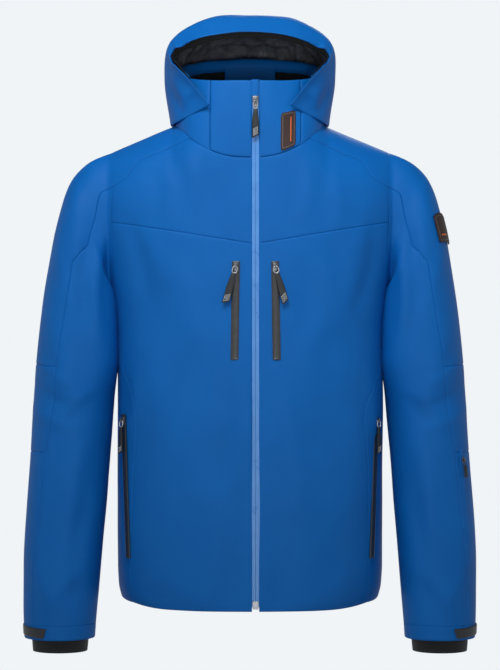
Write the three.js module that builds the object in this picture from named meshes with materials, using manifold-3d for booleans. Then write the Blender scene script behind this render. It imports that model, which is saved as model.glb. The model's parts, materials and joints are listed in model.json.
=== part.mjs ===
// Insulated ski jacket with its hood up and its zips closed, as it hangs on a clothes hanger.
// Millimetres, +Z up. The front is -Y and the wearer's left is +X. The origin is the middle of the neck opening,
// level with the back neck seam, where the hanger's stem rises through the collar.
import * as THREE from "three";
import { mergeVertices } from "three/addons/utils/BufferGeometryUtils.js";
import Module from "manifold-3d";

const wasm = await Module();
wasm.setup();

// ---- driving dimensions ----
const bodyHalfWidth = 199; // half of the jacket's width below the armholes
const hemZ = -690; // hem, below the back neck
const armpitZ = -238; // bottom of the armhole
const shellThick = 3; // outer fabric with its insulation
const liningThick = 1.2;
const liningInset = 7; // lining's outer side, inside the shell's outer side
const seamGap = 0.8; // clear between neighbouring panels
const squareness = 2.5; // exponent of the body's rounded section
const ridgeY = 10; // where the front meets the back along the shoulder
const ridgeZ = 18; // shoulder line's height beside the collar
const ridgeX = 113.6; // and how far out it starts
const shoulderSlope = 0.417;
const shoulderRound = 120; // height over which the shoulder rounds down into the chest
const yokeSeamZ = -128; // chest seam at the armhole
const yokeSeamDrop = 34; // how far that seam falls towards the zip
const backYokeZ = -130; // back seam
const backShoulderZ = -70; // where the shoulder panels end, behind
const armholeX = bodyHalfWidth + 4; // outer edge of the shoulder panel
const armholeAngles = [70, 84]; // degrees round from the front, between which the armhole's edge falls
const sideBackAngle = 105; // and the side panel's back seam
const neckFrontZ = -36; // neck seam at the front
const collarHalf = 110; // half of the collar's width
const collarFrontZ = 77; // collar's top edge at the front
const collarSeamX = 66; // collar's front seam, from the zip
const zipX = 8; // the zip lies this far to the wearer's left, because of its lap
const frontTopY = 95; // the front line is straight: its depth at the collar's top
const frontLean = 0.072; // and how fast it comes forward below that
const panelEdge = 6.5; // front panels' edges, from the middle of the zip
const hingeTopX = 70; // line about which a front opens, from the zip, at the collar's top
const hingeHemX = 165; // and at the hem
const hingeGap = 1.5; // clear on each side of that line
const sliderZ = 46; // main slider's middle, with the zip closed
const chestZip = { x: 28.5, top: -196, length: 134, slant: 0.015 };
const handZip = { topX: bodyHalfWidth - 14, bottomX: bodyHalfWidth - 21.5, aboveHem: 69, length: 200 };
const pocketTapeWidth = 8;
const elbowZ = -400;
const elbowAxisY = -42; // the sleeve folds about a line this far forward
const elbowBend = 68; // degrees that the sleeve's cut at the elbow leaves room for
const cuffZ = -742;

// ---- small helpers ----
const rad = THREE.MathUtils.degToRad;
const mix = THREE.MathUtils.lerp;
const clamp = THREE.MathUtils.clamp;
const smooth = (x, low, high) => THREE.MathUtils.smoothstep(x, low, high);
const vec = (x, y, z) => new THREE.Vector3(x, y, z);
const power = (value, exponent) => Math.sign(value) * Math.abs(value) ** exponent;

// A smooth curve through [z, value] pairs, with z rising.
function profile(...pairs) {
  const curve = new THREE.SplineCurve(pairs.map(([z, value]) => new THREE.Vector2(z, value)));
  const heights = pairs.map((pair) => pair[0]);
  return (z) => {
    const held = clamp(z, heights[0], heights.at(-1));
    const i = Math.min(heights.findLastIndex((height) => height <= held), heights.length - 2);
    const share = (held - heights[i]) / (heights[i + 1] - heights[i]);
    return curve.getPoint((i + share) / (heights.length - 1)).y;
  };
}

function normalOf(surface, u, v) {
  const step = 1e-3;
  const across = surface(u + step, v).sub(surface(u - step, v));
  const up = surface(u, v + step).sub(surface(u, v - step));
  return across.cross(up).normalize();
}

// A closed panel: a box of cells laid on surface(u, v), lift above it, with its thickness inwards.
function panel(surface, thick, cellsU, cellsV, lift = 0) {
  const box = new THREE.BoxGeometry(1, 1, 1, cellsU, cellsV, 1);
  const place = box.attributes.position;
  for (let i = 0; i < place.count; i++) {
    const [u, v] = [place.getX(i) + 0.5, place.getY(i) + 0.5];
    const inward = 0.5 - place.getZ(i);
    const point = surface(u, v).addScaledVector(normalOf(surface, u, v), lift - inward * thick);
    place.setXYZ(i, ...point);
  }
  return box;
}

// A closed tube wall: a ring with a square section, laid on surface(u, v) where u goes once round.
function tube(surface, thick, cellsRound, cellsAlong, lift = 0) {
  const up = Array.from({ length: cellsAlong + 1 }, (_, i) => i / cellsAlong);
  const outer = up.map((v) => new THREE.Vector2(2, v));
  const inner = up.map((v) => new THREE.Vector2(1, v)).reverse();
  const ring = new THREE.LatheGeometry([...outer, ...inner, outer[0]], cellsRound);
  const place = ring.attributes.position;
  for (let i = 0; i < place.count; i++) {
    const turn = Math.atan2(place.getX(i), place.getZ(i)) / (2 * Math.PI);
    const inward = 2 - Math.hypot(place.getX(i), place.getZ(i));
    const [u, v] = [Math.abs(turn) < 1e-9 ? 0 : turn, place.getY(i)];
    const point = surface(u, v).addScaledVector(normalOf(surface, u, v), lift - inward * thick);
    place.setXYZ(i, ...point);
  }
  return ring;
}

const mirrored = (surface) => (u, v) => surface(1 - u, v).multiply(vec(-1, 1, 1));

function solid(geometry) {
  const bare = geometry.index ? geometry.toNonIndexed() : geometry.clone();
  bare.deleteAttribute("normal");
  bare.deleteAttribute("uv");
  const merged = mergeVertices(bare, 1e-4);
  const vertProperties = merged.attributes.position.array;
  return new wasm.Manifold(
    new wasm.Mesh({ numProp: 3, vertProperties, triVerts: new Uint32Array(merged.index.array) }),
  );
}

function geometryOf(manifold) {
  const mesh = manifold.getMesh();
  return new THREE.BufferGeometry()
    .setAttribute("position", new THREE.BufferAttribute(mesh.vertProperties, 3))
    .setIndex(new THREE.BufferAttribute(mesh.triVerts, 1));
}

const joined = (...geometries) => geometryOf(geometries.map(solid).reduce((all, one) => all.add(one)));

const block = (x0, x1, y0, y1, z0, z1) =>
  new THREE.BoxGeometry(x1 - x0, y1 - y0, z1 - z0).translate((x0 + x1) / 2, (y0 + y1) / 2, (z0 + z1) / 2);

// ---- materials ----
const fabric = (color, roughness) => new THREE.MeshStandardMaterial({ color, roughness, metalness: 0 });
const shell = fabric("#0f5fa6", 0.62);
const lining = fabric("#101216", 0.5);
const stretch = fabric("#0b0d10", 0.85);
const zipFilm = fabric("#4f8fd6", 0.3);
const pocketFilm = fabric("#33373a", 0.35);
const rubber = fabric("#14171b", 0.55);
const badge = fabric("#3b1f1d", 0.7);
const metal = new THREE.MeshStandardMaterial({ color: "#8e9196", roughness: 0.3, metalness: 1 });

const jacket = new THREE.Group();
function add(name, geometry, material, group = jacket) {
  const mesh = new THREE.Mesh(geometry, material);
  mesh.name = name;
  group.add(mesh);
}

// ---- body surface: angle in degrees round from the front towards the wearer's left, and height ----
const halfWidth = profile(
  [hemZ, bodyHalfWidth - 5],
  [hemZ + 50, bodyHalfWidth - 1],
  [-300, bodyHalfWidth],
  [-200, bodyHalfWidth + 4],
  [-120, bodyHalfWidth + 15],
  [-60, bodyHalfWidth + 27],
  [20, bodyHalfWidth + 42],
);
const backDepth = profile([hemZ, 138], [-450, 124], [-220, 128], [-120, 124], [-60, 112], [-25, 95], [20, 66]);
const frontDepth = (z) => frontTopY + frontLean * (collarFrontZ - z);

function ridge(x) {
  const out = Math.abs(x) - ridgeX;
  return ridgeZ - out * (out > 0 ? shoulderSlope : 1.2);
}

function bodyY(x, z, back) {
  const across = Math.min(Math.abs(x) / halfWidth(z), 1);
  const roundness = (1 - across ** squareness) ** (1 / squareness);
  const below = clamp((ridge(x) - z) / shoulderRound, 0, 1);
  const shoulder = (1 - (1 - below) ** 2.2) ** (1 / 2.2);
  return back
    ? ridgeY + (backDepth(z) - ridgeY) * roundness * shoulder
    : ridgeY - (frontDepth(z) + ridgeY) * roundness * shoulder;
}

function bodyPoint(angle, z) {
  const x = halfWidth(z) * power(Math.sin(rad(angle)), 2 / squareness);
  return vec(x, bodyY(x, z, Math.cos(rad(angle)) < 0), z);
}

const frontAngle = (x, z) =>
  THREE.MathUtils.radToDeg(Math.asin(power(clamp(x / halfWidth(z), -1, 1), squareness / 2)));

// A piece of the body between two angles and two heights, each of which may vary.
function bodyPatch(angle0, angle1, low, high) {
  return (u, v) => {
    const z = mix(low(u), high(u), v);
    return bodyPoint(mix(angle0(z), angle1(z), u), z);
  };
}

const hingeX = (z) => mix(hingeHemX, hingeTopX, (z - hemZ) / (collarFrontZ - hemZ));
const level = (value) => () => value;

// ---- neck seam and collar ----
const neckFront = (x) => neckFrontZ + (ridgeZ - 1 - neckFrontZ) * (Math.abs(x) / collarHalf) ** 2.5;
const neckBack = (x) => (ridgeZ - 1) * (Math.abs(x) / collarHalf) ** 2;
const collarTop = profile([0, collarFrontZ], [40, collarFrontZ + 4], [90, 103], [135, 124], [180, 132]);

function collarPoint(angle, t) {
  const turn = Math.abs(((angle + 540) % 360) - 180);
  const x = collarHalf * Math.sin(rad(angle));
  const back = turn > 90;
  const lowZ = (back ? neckBack : neckFront)(x);
  const base = vec(x, bodyY(x, lowZ, back), lowZ);
  const top = vec(x, 0, collarTop(turn));
  const forward = Math.cos(rad(angle));
  top.y = forward > 0 ? 4 - (frontDepth(top.z) + 4) * forward ** 0.9 : 4 - 78 * power(forward, 0.9);
  return base.lerp(top, t);
}

const collarAngle = (x) => THREE.MathUtils.radToDeg(Math.asin(x / collarHalf));
const collarPatch = (angle0, angle1, low = 0, high = 1) => (u, v) =>
  collarPoint(mix(angle0, angle1, u), mix(low, high, v));

// ---- shoulder surface: across by x, and from front to back over the shoulder line ----
function shoulderPatch(side) {
  return (u, v) => {
    const over = 2 * v - 1;
    const low = over < 0 ? yokeSeamZ : backShoulderZ;
    const inner = zipX + side * (hingeX(mix(ridgeZ, low, Math.abs(over) ** 1.8)) + hingeGap);
    const x = side > 0 ? mix(inner, armholeX, u) : mix(-armholeX, inner, u);
    const z = mix(ridge(x), low, Math.abs(over) ** 1.8);
    return vec(x, bodyY(x, z, over > 0), z);
  };
}

// A slab with the given outline in x and z, between two depths.
function slab(outline, y0, y1) {
  const shape = new THREE.Shape(outline.map(([x, z]) => new THREE.Vector2(x, z)));
  const extruded = new THREE.ExtrudeGeometry(shape, { depth: y1 - y0, bevelEnabled: false });
  return extruded.rotateX(Math.PI / 2).translate(0, y1, 0);
}

const less = (geometry, ...cuts) =>
  geometryOf(cuts.map(solid).reduce((left, cut) => left.subtract(cut), solid(geometry)));

// What the panels leave for the collar: everything above the neck seam.
function neckOpening(neck, y0, y1) {
  const edge = Array.from({ length: 25 }, (_, i) => (collarHalf + 1.5) * (i / 12 - 1));
  // The fronts swing past the collar's fixed part, so they stand further off it.
  const spare = (x) => (Math.abs(x - zipX) > collarSeamX - 6 ? 10 : 1.5) * seamGap;
  const outline = edge.map((x) => [x, neck(clamp(x, -collarHalf, collarHalf)) - spare(x)]);
  return slab([...outline, [edge.at(-1), 200], [edge[0], 200]], y0, y1);
}
const frontNeck = neckOpening(neckFront, -200, ridgeY + 0.5);
const backNeck = neckOpening(neckBack, ridgeY - 0.5, 200);

// ---- the two fronts, which open about slanting lines ----
function frontPieces(side, suffix) {
  const edges = (inner, outer) => {
    const near = (z) => frontAngle(zipX + side * inner, z);
    const far = (z) => frontAngle(zipX + side * (hingeX(z) - outer), z);
    return side > 0 ? [near, far] : [far, near];
  };
  const seamZ = (u) => yokeSeamZ - yokeSeamDrop * (side > 0 ? 1 - u : u);
  const [panelStart, panelEnd] = edges(panelEdge, hingeGap);
  add("front_panel_" + suffix, panel(bodyPatch(panelStart, panelEnd, level(hemZ), seamZ), shellThick, 5, 10), shell);
  const yoke = bodyPatch(panelStart, panelEnd, (u) => seamZ(u) + seamGap, level(ridgeZ));
  add("front_yoke_" + suffix, less(panel(yoke, shellThick, 5, 5), frontNeck), shell);
  const [liningStart, liningEnd] = edges(panelEdge + 10, 14);
  const inner = bodyPatch(liningStart, liningEnd, level(hemZ + 25), level(neckFrontZ - 12));
  add("front_lining_" + suffix, panel(inner, liningThick, 4, 10, -liningInset), lining);
  const seam = collarAngle(zipX + side * collarSeamX);
  const edge = collarAngle(zipX + side * panelEdge);
  const collar = collarPatch(Math.min(seam, edge), Math.max(seam, edge));
  add("collar_front_" + suffix, panel(collar, shellThick, 4, 4), shell);
}

// ---- panels that stay with the back ----
function sidePieces(side, suffix) {
  const near = (z) => Math.abs(frontAngle(zipX + side * (hingeX(z) + hingeGap), z));
  const [start, end] = side > 0 ? [near, level(sideBackAngle)] : [level(360 - sideBackAngle), (z) => 360 - near(z)];
  const top = (u) => {
    const angle = mix(26, sideBackAngle, side > 0 ? u : 1 - u);
    return mix(yokeSeamZ - seamGap, armpitZ, smooth(angle, armholeAngles[0], armholeAngles[1]));
  };
  add("side_panel_" + suffix, panel(bodyPatch(start, end, level(hemZ), top), shellThick, 14, 9), shell);
  const shoulder = panel(shoulderPatch(side), shellThick, 5, 14);
  add("shoulder_panel_" + suffix, less(shoulder, frontNeck, backNeck), shell);
}

function backPieces() {
  const [start, end] = [level(sideBackAngle + 0.4), level(360 - sideBackAngle - 0.4)];
  add("back_panel", panel(bodyPatch(start, end, level(hemZ), level(backYokeZ)), shellThick, 14, 8), shell);
  const corner = (side) => {
    const low = backShoulderZ - 3 * seamGap;
    const inner = (z) => zipX + side * (hingeX(z) + hingeGap - 2 * seamGap);
    return slab([[inner(low), low], [inner(60), 60], [side * 300, 60], [side * 300, low]], 0, 200);
  };
  const yoke = bodyPatch(start, end, level(backYokeZ + seamGap), level(ridgeZ));
  const beyond = [block(armholeX, 400, -99, 300, -400, 99), block(-400, -armholeX, -99, 300, -400, 99)];
  add("back_yoke", less(panel(yoke, shellThick, 18, 5), backNeck, corner(1), corner(-1), ...beyond), shell);
  const liningTop = (u) => {
    const aside = Math.abs(mix(75, 285, u) - 180);
    return mix(-62, armpitZ - 8, smooth(aside, 50, 66));
  };
  const inner = bodyPatch(level(75), level(285), level(hemZ + 25), liningTop);
  add("body_lining", panel(inner, liningThick, 18, 9, -liningInset), lining);
}

function collarPieces() {
  const [left, right] = [collarAngle(zipX + collarSeamX + 4), 360 + collarAngle(zipX - collarSeamX - 4)];
  add("collar_back", panel(collarPatch(left, right), shellThick, 18, 4), shell);
  const inside = collarPatch(left + 4, right - 4, 0.12, 0.93);
  add("collar_lining", panel(inside, liningThick, 18, 3, -shellThick - 6), lining);
}

// The loop that hangs the jacket on a hook: a ribbon sewn at both ends inside the back neck.
const loop = { width: 62, height: 15, ribbon: 1.4, depth: 7, y: 52, z: 8 };
function hangerLoop() {
  const outline = new THREE.Shape();
  outline.moveTo(-loop.width / 2, 0);
  outline.lineTo(loop.width / 2, 0);
  outline.lineTo(loop.width / 2, loop.height);
  outline.lineTo(-loop.width / 2, loop.height);
  const hole = new THREE.Path();
  const [half, low, high] = [loop.width / 2 - 5, loop.ribbon, loop.height - loop.ribbon];
  hole.moveTo(-half, low);
  hole.lineTo(-half, high);
  hole.lineTo(half, high);
  hole.lineTo(half, low);
  outline.holes.push(hole);
  const ribbon = new THREE.ExtrudeGeometry(outline, { depth: loop.depth, bevelEnabled: false });
  ribbon.rotateX(Math.PI / 2).translate(0, loop.y + loop.depth, loop.z);
  add("hanger_loop", ribbon, stretch);
}

// Skirt inside the waist that keeps snow out: sewn to the lining above, gathered in below.
const skirt = { top: hemZ + 170, bottom: hemZ + 26, gather: 20 };
function snowSkirt() {
  const surface = (u, v) => {
    const z = mix(skirt.bottom, skirt.top, v);
    const point = bodyPoint(360 * u, z);
    const inset = liningInset + liningThick + 6 + skirt.gather * (1 - v);
    return point.multiply(vec(1 - inset / bodyHalfWidth, 1 - inset / 130, 1));
  };
  add("snow_skirt", tube(surface, liningThick, 28, 4), lining);
}

// ---- zips ----
// A group whose own -Y faces out of the fabric, +Z points up the zip, and origin is the slider's middle.
function zipFrame(top, bottom, outward) {
  const up = top.clone().sub(bottom).normalize();
  const across = up.clone().cross(outward).normalize();
  const inward = up.clone().cross(across).normalize();
  const group = new THREE.Group();
  group.applyMatrix4(new THREE.Matrix4().makeBasis(across, inward, up));
  group.position.copy(top);
  jacket.add(group);
  return group;
}

const crown = { reach: 4.2, width: 2.4, eye: 1.7 }; // the arch on a slider that its pull hangs from
const wire = 0.7; // radius of the pull's ring
function sliderBody(size, front) {
  const plate = block(-size * 0.5, size * 0.5, front - 1.6, front, -size * 0.95, size * 0.8);
  const arch = new THREE.Shape();
  const [half, reach] = [size * 0.42, crown.reach];
  arch.moveTo(-half, 0);
  arch.lineTo(half, 0);
  arch.lineTo(half * 0.8, reach + 1);
  arch.lineTo(-half * 0.8, reach + 1);
  const eye = new THREE.Path();
  eye.absarc(0, reach - crown.eye - 0.3, crown.eye, 0, 2 * Math.PI, true);
  arch.holes.push(eye);
  const bridge = new THREE.ExtrudeGeometry(arch, { depth: crown.width, bevelEnabled: false, curveSegments: 5 });
  // The arch's own X runs up the zip and its Y out of the fabric.
  const stand = new THREE.Matrix4().makeBasis(vec(0, 0, 1), vec(0, -1, 0), vec(1, 0, 0));
  bridge.applyMatrix4(stand).translate(-crown.width / 2, front - 1.5, 0);
  return [plate, bridge];
}

// The pull hangs from the crown's eye: a wire ring, then a moulded tab with an angled end.
function zipPull(group, name, { front, ring, tab, tilt }) {
  const hang = new THREE.Group();
  hang.position.set(0, front - 1.5 - (crown.reach - crown.eye - 0.3), 0);
  hang.rotation.y = rad(tilt);
  group.add(hang);
  const loopShape = new THREE.Shape();
  const [outX, topZ, low] = [ring.width / 2, wire, -ring.length];
  loopShape.moveTo(-outX, topZ);
  loopShape.lineTo(-outX, low + outX * 0.6);
  loopShape.lineTo(-outX * 0.5, low);
  loopShape.lineTo(outX * 0.5, low);
  loopShape.lineTo(outX, low + outX * 0.6);
  loopShape.lineTo(outX, topZ);
  const inside = new THREE.Path();
  const inX = outX - 2 * wire;
  inside.moveTo(-inX, -wire);
  inside.lineTo(inX, -wire);
  inside.lineTo(inX, low + inX * 0.8);
  inside.lineTo(inX * 0.5, low + 2 * wire);
  inside.lineTo(-inX * 0.5, low + 2 * wire);
  inside.lineTo(-inX, low + inX * 0.8);
  loopShape.holes.push(inside);
  const bow = new THREE.ExtrudeGeometry(loopShape, { depth: 2 * wire, bevelEnabled: false });
  add(name + "_pull_ring", bow.rotateX(Math.PI / 2).translate(0, wire, 0), metal, hang);
  const grip = new THREE.Shape();
  const [start, end, wide] = [-ring.length - 0.4, -ring.length - tab.length, tab.width / 2];
  grip.moveTo(-wide * 0.75, start);
  grip.lineTo(-wide, start - tab.length * 0.5);
  grip.lineTo(-wide, end + tab.width * 0.7);
  grip.lineTo(wide * 0.4, end);
  grip.lineTo(wide, end + 2);
  grip.lineTo(wide, start - tab.length * 0.5);
  grip.lineTo(wide * 0.75, start);
  const moulded = new THREE.ExtrudeGeometry(grip, { depth: tab.thick, bevelEnabled: false });
  add(name + "_pull_tab", moulded.rotateX(Math.PI / 2).translate(0, tab.thick / 2, 0), rubber, hang);
}

const smallRing = { width: 8.4, length: 9 };
const smallTab = { width: 8.4, length: 44, thick: 2.4 };

function mainZip() {
  const at = (z) => vec(zipX, -frontDepth(z), z);
  const frame = zipFrame(at(sliderZ), at(hemZ), vec(0, -1, 0));
  const lean = Math.hypot(1, frontLean);
  const [top, bottom] = [(collarFrontZ - 2 - sliderZ) * lean, (hemZ + 3 - sliderZ) * lean];
  const gap = 0.9; // each half stands this far off the middle, which leaves room for the slider's post
  add("main_zip_tape_left", block(gap, panelEdge - 0.5, -0.6, 1.2, bottom, top), zipFilm, frame);
  add("main_zip_tape_right", block(-panelEdge + 0.5, -gap, -0.6, 1.2, bottom, top), zipFilm, frame);
  const size = 9.6;
  const front = -0.95;
  const post = block(-gap + 0.4, gap - 0.4, front - 0.1, 1.8, 1, 6);
  // The slider's back reaches only the left tape, so that the right one can leave it sideways.
  const back = block(-gap + 0.4, size * 0.45, 1.5, 2.6, -size * 0.8, size * 0.8);
  add("main_zip_slider", joined(...sliderBody(size, front), post, back), metal, frame);
  const [ring, tab] = [{ width: 7, length: 11 }, { width: 9.4, length: 43, thick: 3 }];
  zipPull(frame, "main_zip", { front, ring, tab, tilt: 0 });
  add("storm_flap", block(-26, 1, shellThick + 2, shellThick + 3.2, bottom + 6, top - 14), shell, frame);
  add("zip_garage", block(-9, 3, -2.4, -1.2, size * 0.8 + 3, top - 1), shell, frame);
}

function pocketZip(name, top, bottom, outward, tilt) {
  const frame = zipFrame(top, bottom, outward);
  const length = top.distanceTo(bottom);
  const half = pocketTapeWidth / 2;
  add(name + "_zip_tape", block(-half, half, -2, -0.8, -length, 9), pocketFilm, frame);
  const front = -2.3;
  add(name + "_zip_slider", joined(...sliderBody(7, front)), metal, frame);
  zipPull(frame, name, { front, ring: smallRing, tab: smallTab, tilt });
}

function pocketZips() {
  for (const side of [1, -1]) {
    const suffix = side > 0 ? "_left" : "_right";
    const chestAt = (z) => {
      const x = zipX + side * (chestZip.x - chestZip.slant * (z - chestZip.top));
      return vec(x, bodyY(x, z, false), z);
    };
    const [top, bottom] = [chestAt(chestZip.top), chestAt(chestZip.top - chestZip.length)];
    pocketZip("chest" + suffix, top, bottom, vec(side * 0.02, -1, 0), side * -15);
    const handAt = (x, z) => vec(side * x, bodyY(x, z, false), z);
    const end = hemZ + handZip.aboveHem;
    const hand = [handAt(handZip.topX, end + handZip.length), handAt(handZip.bottomX, end)];
    const out = vec(side * 0.72, -0.69, 0).normalize();
    hand.forEach((point) => point.addScaledVector(out, 0.8));
    pocketZip("hand" + suffix, ...hand, out, side * -4);
  }
}

// ---- sleeves: rings that fan round the armpit and then run down to the cuff ----
// Each ring: its inner and outer points in x, from the armhole's edge, and z, its middle in y and its half depth.
const sleeveRings = [
  { inner: [3, -232], outer: [3, -28], y: 8, depth: 49 },
  { inner: [3, -236], outer: [44, -41], y: 8, depth: 56 },
  { inner: [2.5, -240], outer: [69, -70], y: 7, depth: 62 },
  { inner: [1.5, -246], outer: [88, -130], y: 6, depth: 66 },
  { inner: [0, -256], outer: [100, -190], y: 4, depth: 69 },
  { inner: [-1, -292], outer: [110, -255], y: 2, depth: 70 },
  { inner: [-1, -342], outer: [118, -328], y: 0, depth: 69 },
  { inner: [1, -402], outer: [123, -398], y: -2, depth: 67 },
  { inner: [7, -472], outer: [127, -472], y: -8, depth: 64 },
  { inner: [13, -547], outer: [132, -547], y: -16, depth: 61 },
  { inner: [19, -622], outer: [136, -622], y: -27, depth: 58 },
  { inner: [25, -692], outer: [136, -692], y: -37, depth: 54 },
  { inner: [29, cuffZ], outer: [134, cuffZ], y: -44, depth: 50 },
];
const spline = (points) => new THREE.CatmullRomCurve3(points, false, "catmullrom", 0.5);
const ringPoint = (ring, [out, z]) => vec(armholeX + out, ring.y, z);
const innerLine = spline(sleeveRings.map((ring) => ringPoint(ring, ring.inner)));
const outerLine = spline(sleeveRings.map((ring) => ringPoint(ring, ring.outer)));
const depthLine = spline(sleeveRings.map((ring) => vec(ring.depth, 0, 0)));
const elbowRing = 7;
const lastRing = sleeveRings.length - 1;

// turn 0 is the outer side and 0.25 the front; ring counts down the sleeve.
function sleevePoint(turn, ring) {
  const share = clamp(ring / lastRing, 0, 1);
  const [inner, outer] = [innerLine.getPoint(share), outerLine.getPoint(share)];
  const middle = inner.clone().lerp(outer, 0.5);
  const reach = outer.sub(inner).multiplyScalar(0.5 * Math.cos(2 * Math.PI * turn));
  middle.y -= depthLine.getPoint(share).x * Math.sin(2 * Math.PI * turn);
  return middle.add(reach);
}

// Height cut away on each side of the elbow, so that the forearm can fold forward.
const elbowCut = (y) => 3 + Math.max(0, elbowAxisY - y) * Math.tan(rad(elbowBend / 2));

function sleevePieces(side, suffix) {
  const sided = (surface) => (side > 0 ? surface : mirrored(surface));
  const upper = (turn0, turn1) => (u, v) => {
    const turn = mix(turn1, turn0, u);
    const ring = mix(elbowRing, 0.05, v);
    const point = sleevePoint(turn, ring);
    const cut = elbowCut(sleevePoint(turn, elbowRing).y) * smooth(ring, 4, elbowRing);
    return point.add(vec(0, 0, cut));
  };
  const [front, back] = [0.19, -0.24];
  add("upper_sleeve_outer_" + suffix, panel(sided(upper(back, front)), shellThick, 8, 10), shell);
  add("upper_sleeve_under_" + suffix, panel(sided(upper(front + 0.004, 1 + back - 0.004)), shellThick, 8, 10), shell);
  const lower = (u, v) => {
    const ring = mix(lastRing, elbowRing, v);
    const point = sleevePoint(-u, ring);
    const cut = elbowCut(sleevePoint(-u, elbowRing).y) * smooth(ring, 9.5, elbowRing);
    return point.sub(vec(0, 0, cut));
  };
  add("lower_sleeve_" + suffix, tube(sided(lower), shellThick, 18, 8), shell);
  const cuff = (u, v) => {
    const turn = 2 * Math.PI * u;
    const z = mix(cuffZ - 15, cuffZ + 40, v);
    return vec(armholeX + 85 + 42 * Math.cos(turn), -44 + 39 * Math.sin(turn) + 8 * v, z);
  };
  add("inner_cuff_" + suffix, tube(sided(cuff), 2, 16, 2), stretch);
  const tab = (u, v) => sleevePoint(mix(0.21, -0.13, u), mix(lastRing - 0.06, lastRing - 0.42, v));
  add("cuff_tab_" + suffix, panel(sided(tab), 1.8, 7, 1, 3.3), rubber);
}

function sleeveZip() {
  const [top, bottom] = [sleevePoint(0.125, 8.1), sleevePoint(0.11, 9.6)];
  const outward = vec(0.68, -0.73, 0.04).normalize();
  [top, bottom].forEach((point) => point.addScaledVector(outward, 1.5));
  const frame = zipFrame(top, bottom, outward);
  add("sleeve_zip_slider", joined(...sliderBody(5.4, -0.3)), metal, frame);
  const hang = new THREE.Group();
  hang.position.set(0, -0.3 - 1.5 - (crown.reach - crown.eye - 0.3), 0);
  frame.add(hang);
  const tab = block(-2.7, 2.7, -0.9, 0.9, -26, -8);
  const bow = joined(block(-2.5, 2.5, -0.6, 0.6, -0.6, 0.6), block(-2.5, -1.6, -0.6, 0.6, -8.2, 0.6), block(1.6, 2.5, -0.6, 0.6, -8.2, 0.6));
  add("sleeve_zip_pull_tab", joined(tab, bow), rubber, hang);
}

function badges() {
  const collar = collarPatch(collarAngle(44.5), collarAngle(66), 0.09, 0.545);
  add("collar_badge", panel(collar, 1.4, 3, 3, 1.8), badge);
  const arm = (u, v) => sleevePoint(mix(0.135, 0.02, u), mix(3.2, 2.45, v));
  add("arm_badge", panel(arm, 1.4, 4, 3, 2.1), badge);
}

// ---- hood: a net of points for one half, from the crown down to the lower edge, each row from front to back ----
const hoodNet = [
  [[0, -84, 178], [0, -30, 186], [0, 40, 184], [0, 105, 160], [0, 143, 122]],
  [[62, -76, 170], [66, -28, 179], [66, 40, 177], [55, 104, 154], [0, 155, 98]],
  [[112, -56, 137], [116, -20, 145], [114, 40, 140], [86, 104, 122], [0, 157, 72]],
  [[99, -84, 88], [125, -22, 88], [122, 40, 82], [92, 98, 72], [0, 147, 45]],
  [[66, -101, 44], [108, -55, 27], [118, 12, 22], [95, 70, 20], [0, 112, 18]],
].map((row) => row.map(([x, y, z]) => vec((x * collarHalf) / 110, y, z)));
const hoodRows = hoodNet.map(spline);

// down runs 0 to 1 from the crown to the lower edge, along from the front edge to the back seam.
const hoodPoint = (down, along) => spline(hoodRows.map((row) => row.getPoint(along))).getPoint(down);

function hoodPieces() {
  const half = (u, v) => hoodPoint(mix(0.004, 1, 1 - v), mix(0.02, 0.99, u)).add(vec(0.9, 0, 0));
  const beyond = (side) => block(side > 0 ? -300 : -seamGap / 2, side > 0 ? seamGap / 2 : 300, -300, 300, -100, 300);
  add("hood_left", less(panel(half, shellThick, 9, 9), beyond(1)), shell);
  add("hood_right", less(panel(mirrored(half), shellThick, 9, 9), beyond(-1)), shell);
  const whole = (u, v) => {
    const across = 2 * u - 1;
    const point = hoodPoint(mix(0.004, 0.86, Math.abs(across)), mix(0.12, 0.93, v));
    return point.multiply(vec(Math.sign(across) || 1, 1, 1));
  };
  add("hood_lining", panel(whole, liningThick, 12, 7, -liningInset), lining);
  const visor = (u, v) => {
    const across = 2 * u - 1;
    const point = hoodPoint(mix(0.004, 0.42, Math.abs(across)), 0);
    point.x *= Math.sign(across) || 1;
    return point.add(vec(0, -1.4 - 9 * (1 - v) * (1 - across ** 2), -24 + 20 * v));
  };
  add("hood_brim", panel(visor, 2.5, 10, 1), shell);
}

// ---- assembly ----
frontPieces(1, "left");
frontPieces(-1, "right");
sidePieces(1, "left");
sidePieces(-1, "right");
backPieces();
collarPieces();
hangerLoop();
snowSkirt();
mainZip();
pocketZips();
sleevePieces(1, "left");
sleevePieces(-1, "right");
sleeveZip();
badges();
hoodPieces();

export default jacket;
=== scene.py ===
import json
import math

import bmesh
import bpy
import numpy as np
from mathutils import Matrix, Vector, noise


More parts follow.
